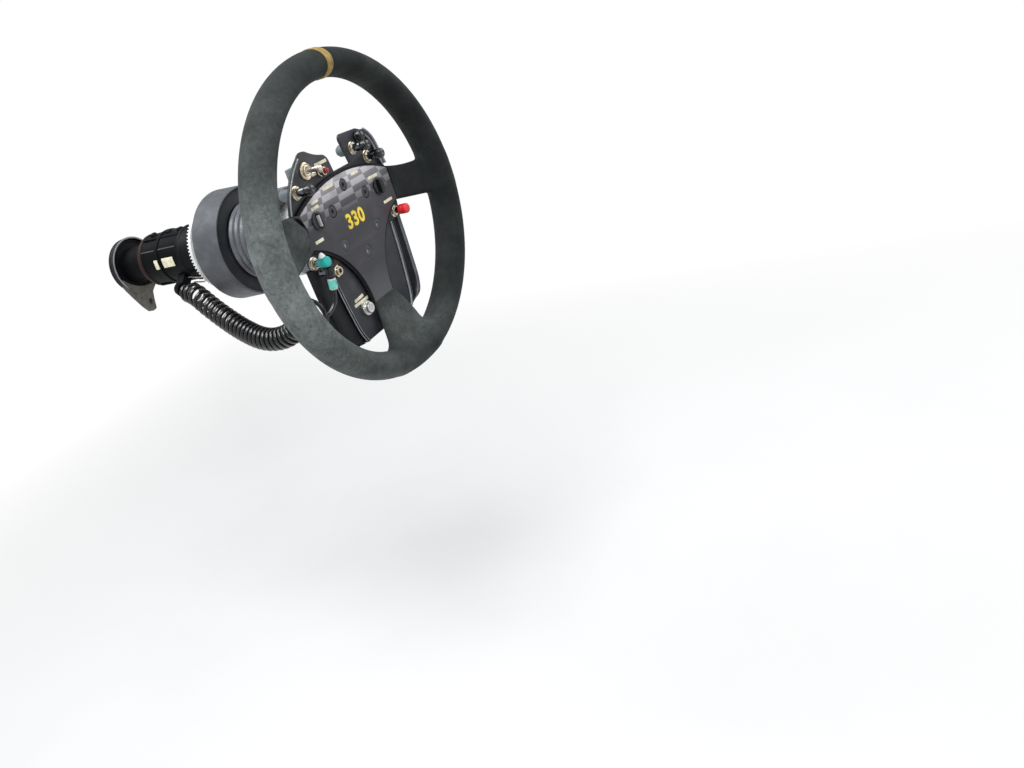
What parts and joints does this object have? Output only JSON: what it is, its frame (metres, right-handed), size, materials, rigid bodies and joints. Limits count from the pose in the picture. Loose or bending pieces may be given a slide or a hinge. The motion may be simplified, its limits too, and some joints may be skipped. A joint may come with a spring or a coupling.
{
  "type": "race car steering wheel on its column head",
  "caption": "Suede steering wheel with switch carrier, hub, bellows and coiled cord, turning on the head of its steering column.",
  "frame": {"origin": "on the steering axis, in the rear face of the column's mounting flange", "axes": "+Y down the column away from the driver, +Z to twelve o'clock, +X to the driver's right"},
  "size_m": [0.327, 0.3836, 0.3275],
  "materials": {
    "suede": "matt suede, worn",
    "marker": "tan tape",
    "plate_print": "dark printed sheet",
    "black_plate": "black anodised",
    "black_plastic": "moulded, satin",
    "grey_plastic": "moulded, fine grain",
    "white_plastic": "moulded",
    "rubber": "ribbed",
    "nickel": "nickel plate",
    "red": "gloss",
    "teal": "satin",
    "steel": "machined",
    "bare_aluminium": "turned",
    "cast": "cast",
    "cord": "gloss jacket"
  },
  "bodies": {
    "column": {"column_housing": "black_plastic", "front_bearing": "steel", "rear_bearing": "steel", "mount_bracket": "cast", "cord_gland": "black_plastic", "coiled_cord": "cord"},
    "wheel": {"rim": "suede", "right_spoke": "suede", "left_spoke": "suede", "bottom_spoke": "suede", "centre_mark": "marker", "face_plate": "plate_print", "hub_plate": "black_plate", "hub_screws": "steel", "switch_carrier": "black_plate", "right_wing_cheek": "black_plastic", "left_wing_cheek": "black_plastic", "right_ear_lip": "black_plate", "switch_nuts": "nickel", "black_buttons": "black_plastic", "red_button": "red", "teal_button": "teal", "teal_button_tip": "white_plastic", "toggle_base": "nickel", "toggle_lever": "nickel", "lamp_collar": "nickel", "lamp": "red", "start_button": "nickel", "spare_bushing": "nickel", "ear_grommet": "rubber", "left_rotary_knob": "black_plastic", "right_rotary_knob": "black_plastic", "switch_bodies": "black_plastic", "hub_adapter": "bare_aluminium", "boss_ring": "bare_aluminium", "bellows": "rubber", "cup": "grey_plastic", "angle_ring": "white_plastic", "steering_shaft": "steel", "cord_tail": "cord", "plug_sleeve": "teal", "plug_body": "black_plastic"}
  },
  "joints": [
    {"name": "steering", "type": "hinge", "parent": "column", "child": "wheel", "pos_m": [0, 0, 0], "axis": [0, 1, 0], "range_deg": [-450, 450], "deforming": ["coiled_cord"]}
  ]
}
